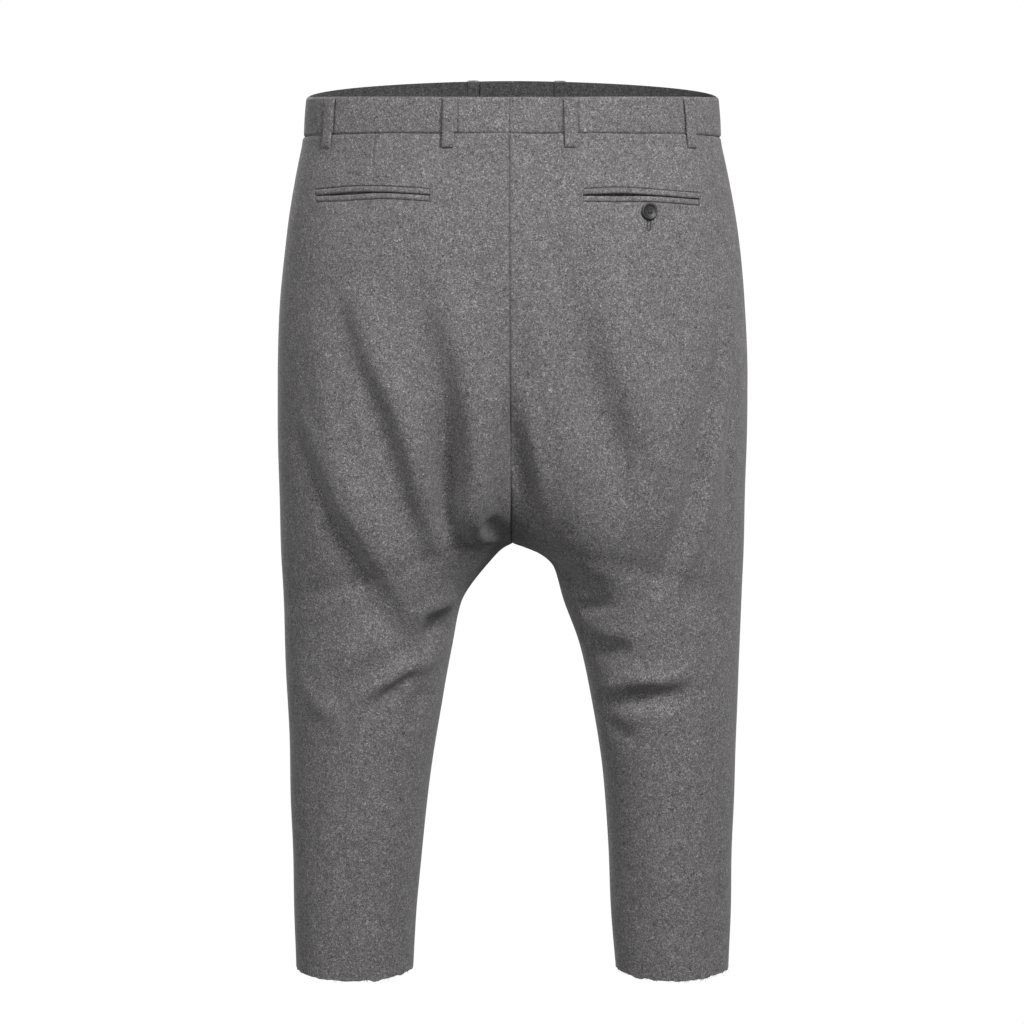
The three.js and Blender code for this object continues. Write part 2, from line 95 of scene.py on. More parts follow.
# The garment's sections from the waist seam to the hem, as in the part: the side seam at sideZ and x = half,
# the centre or inside leg seam at innerZ and x = innerLeft or innerRight.
SECTIONS = table(
    "sideZ innerZ lift half innerLeft innerRight midY lean back backLobe front frontLobe leg",
    [
        (-25, -11.5, 0, 205.2, 0, 0, 0, 3.4, 112, 0, 108, 0, 0),
        (-69, -62, 0, 214.6, 0, 0, 0, 3.2, 121, 3, 113, 2, 0),
        (-120, -116, 0, 223.2, 0, 0, 0, 3, 128, 6, 116, 4, 0),
        (-190, -187, 0, 230.2, 0, 0, 0, 2.7, 131, 10, 116, 7, 0),
        (-265, -259, 0, 233.4, 0, 0, 0, 2.4, 126, 17, 111, 13, 0.03),
        (-335, -326, 2, 233.2, 0, 0, -1, 2, 113, 29, 99, 25, 0.12),
        (-395, -380, 7, 232.4, 0, 0, -2, 1.6, 90, 47, 78, 43, 0.32),
        (-440, -412, 13, 231.4, 0, 0, -3, 1.2, 58, 68, 50, 61, 0.6),
        (-472, -427, 18, 230.2, 0, 0, -4, 0.6, 27, 87, 23, 77, 0.84),
        (-496, -431.5, 21, 229.4, 0, 0, -5, 0, 0, 99, 0, 88, 1),
        (-516, -437, 20, 228.8, 9.5, 13, -5, 0, 0, 98, 0, 88, 1),
        (-538, -451, 17, 228.2, 23, 38.5, -5, 0, 0, 95, 0, 87, 1),
        (-568, -492, 11, 227.2, 51.5, 52, -4, 0, 0, 91, 0, 85, 1),
        (-604, -536, 6, 225.8, 60.5, 68, -2, 0, 0, 86, 0, 81, 1),
        (-648, -592, 2, 224.2, 71, 80, 1, 0, 0, 80, 0, 76, 1),
        (-702, -664, 0, 223, 82.5, 91, 4, 0, 0, 74, 0, 71, 1),
        (-760, -742, 0, 221.4, 91, 97, 6, 0, 0, 69, 0, 67, 1),
        (-816, -810, 0, 220.6, 98, 100.5, 7, 0, 0, 65, 0, 64, 1),
        (-865, -865, 0, 219.2, 101, 105, 8, 0, 0, 62, 0, 62, 1),
    ],
)
CROTCH_ROW = 9
HEM_ROW = len(SECTIONS["sideZ"]) - 1
BAND_LOW = {name: column[0] for name, column in SECTIONS.items()}
BAND_TOP = {**BAND_LOW, "sideZ": 13.8, "innerZ": 22.7, "half": 202.4, "back": 109, "front": 105}
BAND_HEIGHT = BAND_TOP["innerZ"] - BAND_LOW["innerZ"]

# Folds: face 1 on the back and -1 on the front, how far the cloth sinks (below 0) or rises along the line,
# how far it steps up from the line's left to its right, the width to each side, and the line's x, z points.
# A line that ends below HELD_BELOW keeps its depth down to the hem.
HELD_BELOW = -855
FOLD_STEPS = 28
FOLD_ENDS = 0.03  # how far into its fade a fold starts and stops
FOLDS = [
    # back, wearer's left: three long folds from the hip to the crotch, and the light between them
    (1, 0, 8, 19, [
        (168, -162), (157, -191), (146, -228), (130, -263), (116, -297), (106, -331),
        (99, -361), (89, -392), (79, -421), (66, -441), (50, -450),
    ]),
    (1, 3, 0, 15, [(134, -184), (115, -245), (100, -297), (91, -348), (76, -387), (59, -429)]),
    (1, -2, 10, 24, [
        (85, -143), (76, -180), (65, -220), (56, -256), (49, -287),
        (46, -316), (47, -354), (50, -380), (46, -402), (38, -414),
    ]),
    (1, -3, 12, 18, [(60, -262), (54, -305), (53, -350), (55, -385), (50, -410), (36, -424)]),
    (1, 0, 7, 17, [
        (210, -290), (204, -314), (190, -342), (175, -380), (157, -410),
        (139, -442), (124, -467), (113, -489), (102, -514), (92, -530),
    ]),
    (1, 7, 0, 15, [
        (191, -190), (184, -271), (172, -320), (152, -369),
        (128, -408), (106, -440), (72, -470),
    ]),
    # short folds round the crotch and the knee
    (1, -6, 0, 10, [(32, -388), (20, -404), (8, -420)]),
    (1, -5, 4, 12, [(96, -488), (80, -490), (60, -486)]),
    (1, 0, 8, 16, [(98, -507), (82, -502), (58, -494)]),
    (1, 0, 6, 12, [(150, -582), (133, -569), (120, -561), (103, -550), (87, -549), (70, -542)]),
    (1, 0, 4, 15, [(112, -580), (94, -568), (76, -566)]),
    (1, 4, 0, 14, [(176, -543), (148, -525), (128, -518), (100, -521)]),
    (1, 3.5, 0, 10, [(213, -556), (197, -577), (181, -592), (162, -610)]),
    # back, wearer's right: a fold beside the centre seam, a broad one and two down the side
    (1, -1, 8, 15, [(-1, -250), (-7, -287), (-13, -317), (-19, -346), (-23, -374), (-27, -406)]),
    (1, 7, 0, 21, [(-36, -160), (-42, -240), (-50, -310), (-60, -377), (-76, -445)]),
    (1, -5, 9.5, 28, [
        (-68, -115), (-74, -170), (-86, -230), (-102, -280),
        (-116, -320), (-120, -360), (-112, -410),
    ]),
    (1, 3, 0, 18, [(-181, -150), (-179, -213), (-174, -271), (-163, -330)]),
    (1, -4, 7, 14, [
        (-209, -170), (-206, -244), (-199, -290), (-192, -322),
        (-184, -367), (-168, -414), (-151, -465), (-138, -510),
    ]),
    (1, -3, 2, 9, [(-219, -230), (-216, -320), (-214, -400), (-206, -450)]),
    (1, -2.5, 0, 9, [(-207, -640), (-206, -720), (-205, -800), (-204, -862)]),
    # short folds round the crotch and the knee
    (1, -7, 3, 8, [(-45, -447), (-55, -456), (-66, -461), (-77, -466)]),
    (1, -6, 4, 9, [(-64, -484), (-79, -480), (-96, -466)]),
    (1, -8, 6, 12, [(-66, -506), (-79, -518), (-94, -521), (-118, -519)]),
    (1, -3, 9, 14, [(-90, -580), (-111, -571), (-128, -565), (-147, -564), (-180, -559)]),
    (1, 4.5, 0, 10, [(-98, -591), (-121, -589), (-146, -578)]),
    (1, -4, 0, 8, [(-92, -601), (-107, -610), (-126, -618)]),
    # front, wearer's left
    (-1, -10, 3, 21, [(70, -130), (104, -215), (118, -300), (104, -375), (74, -432)]),
    (-1, -9, 3, 20, [(222, -270), (196, -345), (164, -415), (126, -470), (92, -505)]),
    (-1, 7, 0, 20, [(150, -170), (160, -270), (140, -360), (104, -430), (72, -470)]),
    (-1, -9, 3, 14, [(172, -588), (138, -574), (104, -566), (78, -566)]),
    (-1, 5, 0, 16, [(180, -556), (136, -540), (98, -536)]),
    (-1, -6, 0, 14, [(104, -618), (134, -636), (166, -646)]),
    # front, wearer's right
    (-1, -10, 3, 20, [(-90, -150), (-112, -230), (-104, -310), (-84, -380), (-58, -436)]),
    (-1, -9, 3, 20, [(-220, -300), (-202, -370), (-176, -430), (-142, -482), (-106, -515)]),
    (-1, 7, 0, 20, [(-150, -200), (-152, -290), (-130, -370), (-98, -440), (-76, -476)]),
    (-1, -9, 3, 14, [(-164, -600), (-136, -584), (-108, -574), (-88, -572)]),
    (-1, 5, 0, 16, [(-176, -566), (-140, -550), (-106, -544)]),
    (-1, -6, 0, 15, [(-208, -600), (-190, -628), (-158, -648)]),
]

# Long, soft undulations of the hanging cloth: height, the waves' lengths across and down, and a shift
UNDULATIONS = [
    (0.5, 92, 410, 0.4),
    (0.4, 61, 300, 1.9),
    (0.3, 143, 120, 4.1),
]

# Darts below the back waist seam: side, x at the seam, and how far down they run
DARTS = [(1, 132.9, 49), (-1, 126.5, 49)]
DART_DEPTH = 1.1
DART_WIDTH = 0.8
DART_FADE = 18
DART_SLANT = 1.045  # x at 60 mm below the seam, as a share of x at the seam
DART_RIDGE = (0.25, 2.5, 2)  # height, distance and width

# Back pockets, by the x and z of each end of the slit, how far the middle rises, and where and how far
# it gapes
POCKETS = [
    dict(name="left", side=1, inner=(80, -71), outer=(192.5, -77), rise=3.8, gape=1.6, gapeAt=0.68),
    dict(name="right", side=-1, inner=(68, -71), outer=(183, -79.8), rise=3, gape=2.0, gapeAt=0.3),
]
POCKET_LENGTH = 115
POCKET_HALF_WAIST = 215.5  # half the garment's width where the pockets are
WELT_HEIGHT = 5.3
WELT_COLUMNS = 90
WELT_BED = -0.95  # the welt's edge against the panel, and how far its crown rises from there
WELT_CROWN = 1.35
WELT_BACK = -1.2
SLIT = 0.9
GAPE_LENGTH = 0.22
WINDOW_DEPTH = 1.7
SLIT_DEPTH = 5

BUTTON_X = -131.7
BUTTON_Z = -88.1
BUTTON_RADIUS = 8.2
BUTTON_STAND_OFF = 0.7
BUTTON_TURN = 0.12
BUTTON_SIDES = 72
BUTTON_HOLE_AT = 1.45
BUTTON_HOLE_RADIUS = 0.95
# The dished face from the rim to the middle: distance in from the edge, and height
BUTTON_DISH = [(1.6, 3), (2.1, 2.8), (2.5, 2.4), (2.9, 2.15), (3.6, 2.05), (5, 1.95)]
BUTTON_MIDDLE = 1.9

# The buttonhole below the button, and its stitches
BUTTONHOLE_LOW = -106
BUTTONHOLE_TUCK = 3  # how far behind the button's middle its sides start
BUTTONHOLE_HALF = 1.6
BUTTONHOLE_STITCHES = 74
BUTTONHOLE_TURN = (0.42, 0.58)  # shares of the stitches where the round lower end starts and stops
STITCH_REACH = np.array([-0.55, 0, 0.55])
STITCH_RISE = np.array([0.05, 0.35, 0.05])

BAND_LENGTH = 510
BAND_COLUMNS = 220
BAND_EDGE_LINES = np.array([0, 0.008, 0.02, 0.04, 0.07, 0.11])
BAND_END_LINES = np.array([0.0008, 0.0018, 0.003])
EDGE_TUCK = 1.1  # how far the band's long edges are rolled in
END_TUCK = 1.3
TUCK_WIDTH = 0.9
PINCH_DEPTH = 1.3  # how far the band is drawn in beside a belt loop
PINCH_AT = 0.8
PINCH_WIDTH = 1.1

LOOP_WIDTH = 11.5
LOOP_WALL = 1.9
LOOP_TOP_DROP = 1.2
LOOP_TAIL = 13.5
LOOP_BOW = 1.6
LOOP_BOW_FULLNESS = 0.6
LOOP_ROWS = 34
LOOP_EDGES = np.array([-1, -0.985, -0.94, -0.85, -0.6, -0.3, 0, 0.3, 0.6, 0.85, 0.94, 0.985, 1])
LOOP_EDGE_SHARE = 0.35  # the thickness left at a loop's edges
LOOP_END_SHARES = (0.55, 0.9)  # and at its last two rows

# Front loops turn over the band's top edge and run down its inside
LOOP_OVER_WALL = 1.2
LOOP_OVER_DROP = 2
LOOP_TURN_DROP = 1.6
LOOP_TURN_ROWS = 13
LOOP_INSIDE = 24
LOOP_INSIDE_ROWS = 11

# side, face, x, and whether the loop turns over the top edge
LOOPS = [
    ("belt_loop_back_left", 1, 1, 58.5, False),
    ("belt_loop_back_right", -1, 1, 58.5, False),
    ("belt_loop_side_left", 1, 1, 177, False),
    ("belt_loop_side_right", -1, 1, 174, False),
    ("belt_loop_front_left", 1, -1, 40.5, True),
    ("belt_loop_front_right", -1, -1, 48.5, True),
]

TACK_STITCHES = 5
TACK_STEP = 2.1
TACK_HALF = 0.75  # half a stitch's length
TACK_DROP = 2.6  # below the band's top edge
TACK_RISE = 0.5
TACK_BOW = 0.35

UNDERLAP_REACH = 33
UNDERLAP_ROOT = 14
UNDERLAP_HEIGHTS = (0.03, 0.965)  # shares of the band's height
UNDERLAP_GAP = 0.4

THREADS_PER_HEM = 300
FRAY_SEED = 11
HEM_SEEDS = {"back_left": 1, "back_right": 2, "front_left": 3, "front_right": 4}
HEM_WAVES = 40
HEM_WAVE = 0.7  # how far a hem's cut strays up and down

FLANNEL_TONE = (0.0905, 0.0872, 0.0881, 1)
FACING_AND_SHADE_TONE = (0.037, 0.0358, 0.0362, 1)  # the waistband's inside: a darker facing cloth, made darker still by painted shade for the shade inside the band
THREAD_TONE = (0.028, 0.027, 0.027, 1)
BUTTON_TONE = (0.009, 0.009, 0.0095, 1)

# World light by the height of its direction, from -1 straight down to 1 straight up, and by how far its
# direction is to the back (1) or front (-1): the part behind the garment is white.
WORLD_BAND = [(-0.5, 0.12), (-0.42, 0.6), (0.04, 0.6), (0.12, 0.2)]
WORLD_WHITE = [(-1, 1.02), (-0.94, 1.02), (-0.87, 0)]

FLOOR_Z = -872  # just under the lowest loose thread of the hems
FLOOR_SIZE = 60000
FLOOR_WHITE = 1.02

# Lights: place and target in metres, size and power
LIGHTS = [
    ("key", (-1.15, 2.3, 1.95), (0, 0, -0.3), 1.2, 171),
    ("fill", (2.7, 2.2, 0.7), (0, 0, -0.45), 1.6, 44),
    ("front", (1.5, -3.3, 2.2), (0, 0, -0.45), 1.4, 200),
]


# Surfaces

def steady_slope(before, after):
    """The slope between two steps, flat where they turn back."""
    product = before * after
    total = np.where(product > 0, before + after, 1)
    return np.where(product > 0, 2 * product / total, 0)


def section_at(position):
    """Every measure of the sections at an array of row positions."""
    i = np.clip(np.floor(position).astype(int), 0, HEM_ROW - 1)
    t = position - i
    made = {}
    for name, column in SECTIONS.items():
        first = 2 * column[0] - column[1]
        last = 2 * column[-1] - column[-2]
        long = np.concatenate([[first], column, [last]])
        a, b, c, d = (long[i + k] for k in range(4))
        slope_b = steady_slope(b - a, c - b)
        slope_c = steady_slope(c - b, d - c)
        towards = 3 * t**2 - 2 * t**3
        made[name] = b + (c - b) * towards + (t**3 - 2 * t**2 + t) * slope_b + (t**3 - t**2) * slope_c
    return made


def mix(a, b, t):
    return a + (b - a) * t


def bell(distance, width):
    """1 at no distance, fading out over a width."""
    return np.exp(-((distance / width) ** 2))


def section_point(s, side, face, across):
    """Points of sections, 1 to 0 from the inner seam to the side seam."""
    quarter = across * math.pi / 2
    inner = s["innerLeft"] if side > 0 else s["innerRight"]
    torso_x = s["half"] * np.cos(quarter)
    leg_x = (s["half"] + inner) / 2 + (s["half"] - inner) / 2 * np.cos(2 * quarter)
    bend = BACK_WAIST_BEND if face > 0 else FRONT_WAIST_BEND
    torso_drop = 1 - np.maximum(1 - np.sin(quarter), 0) ** bend
    drop = mix(torso_drop, (1 - np.cos(2 * quarter)) / 2, s["leg"])
    lean = s["lean"] * np.sin(quarter) if face > 0 else 0
    depth = s["back"] if face > 0 else s["front"]
    lobe = s["backLobe"] if face > 0 else s["frontLobe"]
    x = side * mix(torso_x, leg_x, s["leg"]) + lean
    y = s["midY"] + face * (depth * np.sin(quarter) + lobe * np.sin(2 * quarter))
    z = mix(s["sideZ"], s["innerZ"], drop) + s["lift"] * np.sin(2 * quarter)
    return np.stack(np.broadcast_arrays(x, y, z), axis=-1)


def smooth_point(side, face, across, position):
    return section_point(section_at(position), side, face, across)


def unit(v):
    return v / np.maximum(np.linalg.norm(v, axis=-1, keepdims=True), 1e-9)


def panel_normal(side, face, across, position):
    """Outward directions of a panel. At a seam they lie in the seam's plane."""
    a0, a1 = np.maximum(across - PROBE, 0), np.minimum(across + PROBE, 1)
    p0, p1 = np.maximum(position - PROBE, 0), np.minimum(position + PROBE, HEM_ROW)
    along = smooth_point(side, face, a1, position) - smooth_point(side, face, a0, position)
    down = smooth_point(side, face, across, p1) - smooth_point(side, face, across, p0)
    normal = unit(np.cross(down, along) * side * face)
    from_side = np.clip(across / SEAM_TURN, 0, 1)
    from_inner = np.clip((1 - across) / SEAM_TURN, 0, 1)
    normal[..., 0] *= np.where(position <= CROTCH_ROW, from_inner, 1)
    normal[..., 1] *= np.where(position >= CROTCH_ROW, from_inner, 1) * from_side
    return unit(normal)


def find_on_panel(side, face, x, z):
    """Where a panel has each x and z: tries a square of places and closes in on the nearest."""
    x, z = np.atleast_1d(x).astype(float), np.atleast_1d(z).astype(float)
    across, share = np.full(x.shape, 0.5), np.full(x.shape, 0.5)
    steps = np.linspace(-1, 1, 7)
    du, dv = (g.ravel() for g in np.meshgrid(steps, steps))
    reach = 0.5
    while reach > 0.0004:
        u = np.clip(across[:, None] + du * reach, 0, 1)
        v = np.clip(share[:, None] + dv * reach, 0, 1)
        p = smooth_point(side, face, u, v * HEM_ROW)
        best = np.argmin((p[..., 0] - x[:, None]) ** 2 + (p[..., 2] - z[:, None]) ** 2, axis=1)
        rows = np.arange(len(x))
        across, share = u[rows, best], v[rows, best]
        reach *= 0.7
    return across, share * HEM_ROW


def spline(points, count):
    """Evenly numbered points on a smooth curve through the given ones."""
    p = np.array(points, float)
    p = np.vstack([2 * p[0] - p[1], p, 2 * p[-1] - p[-2]])
    t = np.linspace(0, len(p) - 3 - 1e-9, count)
    i, f = t.astype(int), (t - t.astype(int))[:, None]
    a, b, c, d = p[i], p[i + 1], p[i + 2], p[i + 3]
    square = (2 * a - 5 * b + 4 * c - d) * f**2
    cube = (3 * b - a - 3 * c + d) * f**3
    return 0.5 * (2 * b + (c - a) * f + square + cube)


def lift_folds():
    """Each fold with its line laid on the smooth surface, and whether the hem holds it."""
    lifted = []
    for face, depth, step, width, line in FOLDS:
        points = []
        for x, z in line:
            side = -1 if x < 0 else 1
            points.append(smooth_point(side, face, *find_on_panel(side, face, x, z))[0])
        held = line[-1][1] < HELD_BELOW
        lifted.append((depth, step, width, spline(points, FOLD_STEPS + 1), held))
    return lifted


def fold_height(points, normals):
    """How far all the folds together move each point outwards."""
    flat = points.reshape(-1, 3)
    out = normals.reshape(-1, 3)
    height = np.zeros(len(flat))
    for depth, step, width, chain, held in folds_on:
        reach = 3 * width
        near = np.all((flat > chain.min(0) - reach) & (flat < chain.max(0) + reach), axis=1)
        if not near.any():
            continue
        here = flat[near]
        start, run = chain[:-1], np.diff(chain, axis=0)
        rel = here[:, None] - start
        share = np.clip((rel * run).sum(-1) / (run**2).sum(-1), 0, 1)
        gap = rel - share[..., None] * run
        off = np.linalg.norm(gap, axis=-1)
        best = off.argmin(axis=1)
        rows = np.arange(len(here))
        off = off[rows, best]
        at = (best + share[rows, best]) / FOLD_STEPS
        aside = (np.cross(run[best], gap[rows, best]) * out[near]).sum(-1)
        aside /= np.linalg.norm(run[best], axis=1) * width
        fade = np.sin(math.pi * mix(FOLD_ENDS, 1 - FOLD_ENDS, at))
        if held:
            fade = np.where(at > 0.5, 1, fade)
        height[near] += (depth + STEP_PEAK * step * aside) * fade * bell(off, width)
    return height.reshape(points.shape[:-1])


def undulation(points):
    total = 0
    for height, across, down, phase in UNDULATIONS:
        wave = np.sin(points[..., 0] * 2 * math.pi / across + phase + 0.7 * np.sin(points[..., 2] / 70))
        total = total + height * wave * np.cos(points[..., 2] * 2 * math.pi / down + phase)
    return total


# Details on the panels

def slit_lines(pocket, points):
    """How far along a pocket's slit each point lies, and how far above its middle."""
    (x0, z0), (x1, z1) = pocket["inner"], pocket["outer"]
    along = (points[..., 0] * pocket["side"] - x0) / (x1 - x0)
    middle = mix(z0, z1, along) + pocket["rise"] * np.sin(math.pi * np.clip(along, 0, 1))
    return along, points[..., 2] - middle


def slit_half(pocket, along):
    """Half the height of a pocket's open slit."""
    gape = pocket["gape"] * bell(along - pocket["gapeAt"], GAPE_LENGTH)
    return (SLIT + gape) / 2


def step_in(value, edge, soft):
    """1 inside an edge and 0 outside, over a soft width."""
    return np.clip(0.5 - (value - edge) / soft, 0, 1)


def pocket_depths(side, face, points):
    """How deep the window and the slit of a back pocket are set into its panel."""
    window = np.zeros(points.shape[:-1])
    slit = np.zeros(points.shape[:-1])
    if face < 0:
        return window, slit
    for pocket in POCKETS:
        if pocket["side"] != side:
            continue
        along, above = slit_lines(pocket, points)
        length = pocket["outer"][0] - pocket["inner"][0]
        past_end = np.maximum(-along, along - 1) * length
        half = slit_half(pocket, along)
        window = step_in(past_end, 0.3, 0.8) * step_in(np.abs(above), half + WELT_HEIGHT + 0.7, 0.8)
        slit = step_in(past_end, -0.5, 1) * step_in(np.abs(above), half + 0.6, 0.8)
    return window, slit


def dart_groove(side, face, points):
    """The pressed line of a dart below the back waist seam."""
    groove = np.zeros(points.shape[:-1])
    ridge, ridge_at, ridge_width = DART_RIDGE
    for dart_side, x, length in DARTS:
        if face < 0 or dart_side != side:
            continue
        down = BAND_LOW["innerZ"] - points[..., 2]
        line_x = np.interp(down, [0, 60], [x, x * DART_SLANT])
        off = points[..., 0] * side - line_x
        fade = np.clip((length - down) / DART_FADE, 0, 1)
        groove += fade * (DART_DEPTH * bell(off, DART_WIDTH) - ridge * bell(off - ridge_at, ridge_width))
    return groove


def seam_relief(gap, groove, width, ridge, ridge_at):
    """A pressed seam: a fine groove, and the ridge of its turnings beside it."""
    return ridge * bell(gap - ridge_at, ridge_at * 0.7) - groove * bell(gap, width)


def relaxed(grid, soft):
    """A grid of points with the bends between its rows eased where soft is above 0."""
    grid = grid.copy()
    for _ in range(SOFT_ROUNDS):
        grid[1:-1] = mix(grid[1:-1], (grid[:-2] + grid[2:]) / 2, soft[1:-1, :, None])
    return grid


def crotch_softness(across, position, to_inner):
    """How much the cloth at each point is eased: near the crotch, and away from both its seams."""
    soft = np.clip(2 - 2 * np.abs(position - CROTCH_ROW) / SOFT_ROWS, 0, 1)
    return soft * np.clip((to_inner - 2) / SOFT_REACH, 0, 1) * np.clip((across - 0.25) * 5, 0, 1)


def panel_layers(side, face, across, position):
    """The outer and inner faces of a panel."""
    smooth = smooth_point(side, face, across, position)
    normal = panel_normal(side, face, across, position)

    def distance_to(edge_across, edge_position):
        edge = smooth_point(side, face, edge_across, edge_position)
        return np.linalg.norm(smooth - edge, axis=-1)

    to_inner = distance_to(np.ones_like(across), position)
    to_side = distance_to(np.zeros_like(across), position)
    to_waist = distance_to(across, np.zeros_like(position))
    calm = mix(1, np.clip(to_inner / LEG_SEAM_CALM, 0, 1), np.clip(position - CROTCH_ROW + 2, 0, 1))
    broad = (fold_height(smooth, normal) + undulation(smooth)) * calm
    window, slit = pocket_depths(side, face, smooth)
    fine = seam_relief(to_inner, *INNER_SEAM)
    fine += seam_relief(to_side, *SIDE_SEAM)
    fine += seam_relief(to_waist, *WAIST_SEAM)
    fine -= dart_groove(side, face, smooth)
    fine -= WINDOW_DEPTH * window + SLIT_DEPTH * slit
    outer = smooth + normal * (broad + fine)[..., None]
    inner = smooth + normal * (broad - PANEL_WALL - (SLIT_DEPTH + 1) * slit)[..., None]
    soft = crotch_softness(across, position, to_inner)
    outer, inner = relaxed(outer, soft), relaxed(inner, soft)
    at_centre = (across == 1) & (position <= CROTCH_ROW)
    at_leg_seam = ((across == 1) & (position >= CROTCH_ROW)) | (across == 0)
    for layer in (outer, inner):
        layer[..., 0] += np.where(at_centre, side * SEAM_HAIR, 0)
        layer[..., 1] += np.where(at_leg_seam, face * SEAM_HAIR, 0)
        layer[..., 2] = np.where(position == 0, smooth[..., 2], layer[..., 2])
    return outer, inner


# Meshes

def shade_smooth(mesh, sharp_degrees):
    mesh.polygons.foreach_set("use_smooth", [True] * len(mesh.polygons))
    mesh.set_sharp_from_angle(angle=math.radians(sharp_degrees))


def mesh_object(name, vertices, faces, material):
    """A mesh object from points in millimetres."""
    mesh = bpy.data.meshes.new(name)
    mesh.from_pydata((np.asarray(vertices, float) * MM).tolist(), [], [list(map(int, f)) for f in faces])
    mesh.validate()
    mesh.update()
    shade_smooth(mesh, 60)
    obj = bpy.data.objects.new(name, mesh)
    bpy.context.scene.collection.objects.link(obj)
    mesh.materials.append(material)
    return obj


def wall_faces(rows, columns):
    """The faces that close a wall between an outer and an inner grid of points."""
    index = np.arange(rows * columns).reshape(rows, columns)
    a, b, c, d = index[:-1, :-1], index[:-1, 1:], index[1:, 1:], index[1:, :-1]
    outer = np.stack([a, b, c, d], -1).reshape(-1, 4)
    inner = outer[:, ::-1] + rows * columns
    rim = np.concatenate([index[0, :-1], index[:-1, -1], index[-1, :0:-1], index[:0:-1, 0]])
    after = np.roll(rim, -1)
    edge = np.stack([after, rim, rim + rows * columns, after + rows * columns], -1)
    return np.concatenate([outer, inner, edge])


def volume(vertices, faces):
    a, b, c, d = (vertices[faces[:, k]] for k in range(4))
    return (np.cross(b, c) * a).sum() + (np.cross(c, d) * a).sum()


def declare(piece, node_name):
    """Lets a piece stand in for its node."""
    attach(piece, "root")
    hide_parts(node_name)


def line_with(piece, material, first, last):
    """Gives some of a piece's faces a second material."""
    piece.data.materials.append(material)
    for polygon in list(piece.data.polygons)[first:last]:
        polygon.material_index = 1


def wall_object(name, outer, inner, material):
    """A closed wall between two grids of points, its outer faces first and then its inner ones."""
    rows, columns = outer.shape[:2]
    vertices = np.concatenate([outer.reshape(-1, 3), inner.reshape(-1, 3)])
    faces = wall_faces(rows, columns)
    if volume(vertices, faces) < 0:
        faces = faces[:, ::-1]
    return mesh_object(name, vertices, faces, material)


def wall_with_shaded_facing(name, outer, inner):
    """A wall of cloth with the waistband's darker facing on its inner side: partly the facing's own tone,
    partly painted shade.
    """
    made = wall_object(name, outer, inner, cloth)
    grid_faces = (outer.shape[0] - 1) * (outer.shape[1] - 1)
    line_with(made, facing, grid_faces, 2 * grid_faces)
    return made


def joined(parts):
    """One list of points and one of faces from several."""
    vertices, faces, count = [], [], 0
    for points, part_faces in parts:
        vertices.append(np.asarray(points, float))
        faces += [[int(i) + count for i in face] for face in part_faces]
        count += len(points)
    return np.concatenate(vertices), faces


def tube_faces(rings, sides):
    """The faces between rings of points that follow one another."""
    starts = [(i * sides + j, i * sides + (j + 1) % sides) for i in range(rings - 1) for j in range(sides)]
    return [[a, b, b + sides, a + sides] for a, b in starts]


def strand(points, radius, sides, taper):
    """A thin closed tube along points, its end as thick as taper says against its start."""
    p = np.asarray(points, float)
    tangent = unit(np.gradient(p, axis=0))
    helper = np.where(np.abs(tangent[:, 2:]) < 0.9, [[0, 0, 1]], [[1, 0, 0]])
    across = unit(np.cross(tangent, helper))
    other = np.cross(tangent, across)
    size = radius * np.linspace(1, taper, len(p))
    turns = np.arange(sides) * 2 * math.pi / sides
    ring = across[:, None] * np.cos(turns)[:, None] + other[:, None] * np.sin(turns)[:, None]
    vertices = (p[:, None] + ring * size[:, None, None]).reshape(-1, 3)
    last = (len(p) - 1) * sides
    ends = [list(range(sides))[::-1], list(range(last, last + sides))]
    return vertices, tube_faces(len(p), sides) + ends


# Materials

def node(tree, kind, **values):
    made = tree.nodes.new(kind)
    for name, value in values.items():
        if hasattr(made, name):
            setattr(made, name, value)
        else:
            made.inputs[name].default_value = value
    return made


def colour_socket(sockets, name):
    """A mix node has one socket of each name for every kind of value; this is the colour's."""
    return next(socket for socket in sockets if socket.name == name and socket.type == "RGBA")


def ramp(tree, source, stops):
    """A grey ramp from a value."""
    made = node(tree, "ShaderNodeValToRGB")
    elements = made.color_ramp.elements
    while len(elements) < len(stops):
        elements.new(0.5)
    for element, (at, value) in zip(elements, stops):
        element.position = at
        element.color = (value, value, value, 1)
    tree.links.new(source, made.inputs["Fac"])
    return made.outputs["Color"]


def plain(name, **sockets):
    """A material by the values of its shader's sockets, each named with _ for a space."""
    material = bpy.data.materials.new(name)
    material.use_nodes = True
    for socket, value in sockets.items():
        material.node_tree.nodes["Principled BSDF"].inputs[socket.replace("_", " ")].default_value = value
    return material


